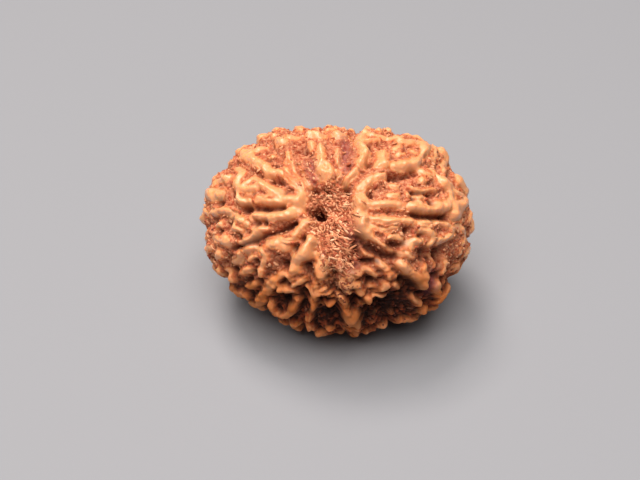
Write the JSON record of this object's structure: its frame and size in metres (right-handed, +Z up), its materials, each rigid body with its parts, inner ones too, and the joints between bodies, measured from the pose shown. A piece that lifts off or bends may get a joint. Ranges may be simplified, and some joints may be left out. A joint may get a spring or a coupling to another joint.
{
  "type": "rudraksha seed",
  "caption": "Oval rudraksha seed, one hard woody stone with radial clefts, crooked raised ridges and warts, and a fibre-filled blind canal mouth at each sunken end.",
  "frame": {"origin": "on the surface the seed lies on, under the middle of its bounding box", "axes": "+Z up, +X along the seed's greatest width, -Y the front; the seed's own axis rises out of its open end up and to the front"},
  "size_m": [0.0254, 0.0198, 0.0191],
  "materials": {
    "stone_wood": "natural oiled woody shell, satin on the ridge tops and dull in the valleys"
  },
  "bodies": {
    "root": {"stone": "stone_wood"}
  },
  "joints": []
}
